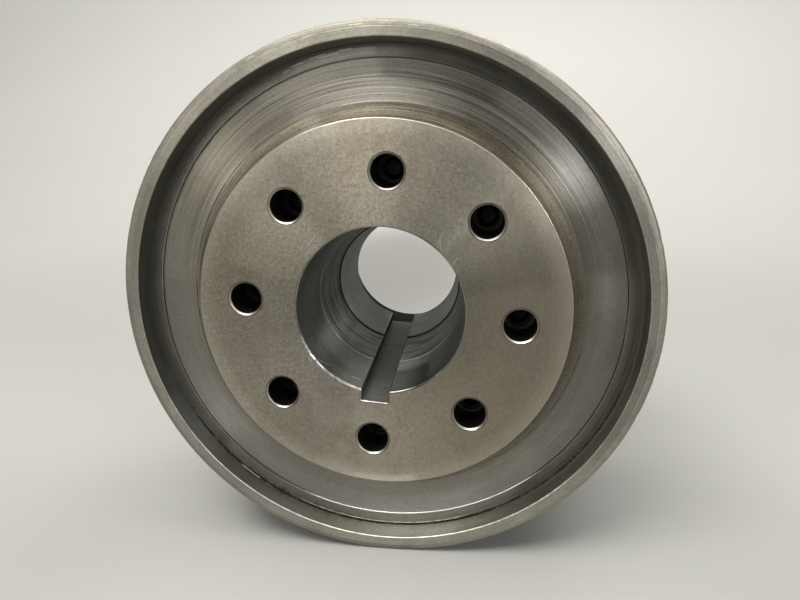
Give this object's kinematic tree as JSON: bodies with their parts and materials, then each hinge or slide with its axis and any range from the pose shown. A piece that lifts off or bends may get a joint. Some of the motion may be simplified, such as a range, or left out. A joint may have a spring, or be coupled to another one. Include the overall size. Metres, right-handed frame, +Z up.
{
  "type": "v belt pulley",
  "caption": "Grooved V belt pulley with a dished front, drilled hub boss and keyed tapered bore; the rim is clamped between a front and a rear hub by socket head screws.",
  "frame": {"origin": "centre of the tapered bore in the plane of the front boss face", "axes": "+Y along the pulley's axis, from the front boss face to the rear hub face; +Z up, with the keyway just past straight down; +X to the right seen from the front"},
  "size_m": [0.231, 0.105, 0.231],
  "materials": {
    "hub_steel": "faced and turned steel, lightly stained, with handling scratches",
    "rim_iron": "turned iron, worn bright on the lip, grime in the corner of the recess",
    "rear_hub_steel": "fine bored steel, lighter than the front hub",
    "screw_steel": "black oxide",
    "washer_steel": "plain stamped steel",
    "dowel_steel": "ground steel"
  },
  "bodies": {
    "root": {"hub_flange": "hub_steel", "grooved_rim": "rim_iron", "rear_hub": "rear_hub_steel", "cap_screw_1": "screw_steel", "cap_screw_2": "screw_steel", "cap_screw_3": "screw_steel", "cap_screw_4": "screw_steel", "cap_screw_5": "screw_steel", "cap_screw_6": "screw_steel", "cap_screw_7": "screw_steel", "cap_screw_8": "screw_steel", "washer_1": "washer_steel", "washer_2": "washer_steel", "washer_3": "washer_steel", "washer_4": "washer_steel", "washer_5": "washer_steel", "washer_6": "washer_steel", "washer_7": "washer_steel", "washer_8": "washer_steel", "dowel_pin_1": "dowel_steel", "dowel_pin_2": "dowel_steel"}
  },
  "joints": []
}
